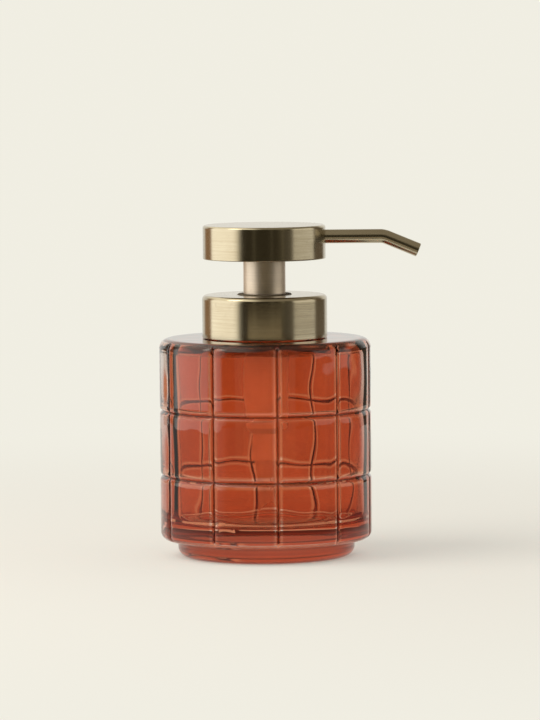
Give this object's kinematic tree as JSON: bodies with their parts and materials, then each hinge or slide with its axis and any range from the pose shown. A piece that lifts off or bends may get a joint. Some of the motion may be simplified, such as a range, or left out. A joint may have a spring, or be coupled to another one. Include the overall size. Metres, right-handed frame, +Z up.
{
  "type": "soap pump dispenser",
  "caption": "Round glass soap bottle with panel grooves and a push pump: press head with a bent spout, screw collar, sprung piston, valves and dip tube inside.",
  "frame": {"origin": "centre of the flat underside of the bottle's foot, where it stands on the table", "axes": "+Z up along the pump's axis, +X towards the spout, -Y towards the picture's camera"},
  "size_m": [0.1043, 0.084, 0.1316],
  "materials": {
    "amber_glass": "thick clear pressed glass, amber-red translucent lacquer outside, glossy",
    "antique_brass": "antique brass plating, finely brushed round the axis, satin gloss",
    "dark_plastic": "moulded, fine grain",
    "natural_plastic": "unpigmented moulded plastic, milky",
    "clear_tube": "extruded clear tube, slightly milky",
    "soft_seal": "soft white seal, matt",
    "black_rubber": "moulded black rubber",
    "spring_steel": "bright drawn and polished stainless steel"
  },
  "bodies": {
    "bottle": {"bottle": "amber_glass"},
    "pump": {"pump_housing": "natural_plastic", "lock_ring": "dark_plastic", "stem_wiper": "black_rubber", "neck_gasket": "soft_seal", "dip_tube": "clear_tube", "inlet_cage": "natural_plastic", "return_spring": "spring_steel"},
    "cap": {"collar": "antique_brass", "screw_cap": "natural_plastic"},
    "piston": {"piston_seal": "soft_seal"},
    "head": {"head_shell": "antique_brass", "head_base_plate": "antique_brass", "head_core": "natural_plastic", "spout_tube": "antique_brass", "spout_seal": "black_rubber", "stem_sleeve": "antique_brass", "pump_stem": "natural_plastic", "stem_plug": "natural_plastic", "outlet_cage": "natural_plastic"},
    "inlet_ball": {"inlet_ball": "spring_steel"},
    "outlet_ball": {"outlet_ball": "spring_steel"}
  },
  "joints": [
    {"name": "cap_lift", "type": "slide", "parent": "bottle", "child": "pump", "axis": [0, 0, 1], "range_m": [0, 0.00635]},
    {"name": "cap_turn", "type": "hinge", "parent": "pump", "child": "cap", "pos_m": [0, 0, 0.0955], "axis": [0, 0, 1], "range_deg": [0, 540]},
    {"name": "pump_press", "type": "slide", "parent": "pump", "child": "piston", "axis": [0, 0, -1], "range_m": [0, 0.012], "stiffness_N_per_m": 500, "springref_m": -0.008, "deforming": ["return_spring"]},
    {"name": "head_swivel", "type": "hinge", "parent": "piston", "child": "head", "pos_m": [0, 0, 0.1249], "axis": [0, 0, 1], "continuous": true},
    {"name": "inlet_ball_lift", "type": "slide", "parent": "pump", "child": "inlet_ball", "axis": [0, 0, 1], "range_m": [0, 0.001]},
    {"name": "outlet_ball_lift", "type": "slide", "parent": "head", "child": "outlet_ball", "axis": [0, 0, 1], "range_m": [0, 0.0008]}
  ],
  "couplings": [
    {"joint": "cap_turn", "follows": "cap_lift", "rad_per_m": 1484.3}
  ]
}
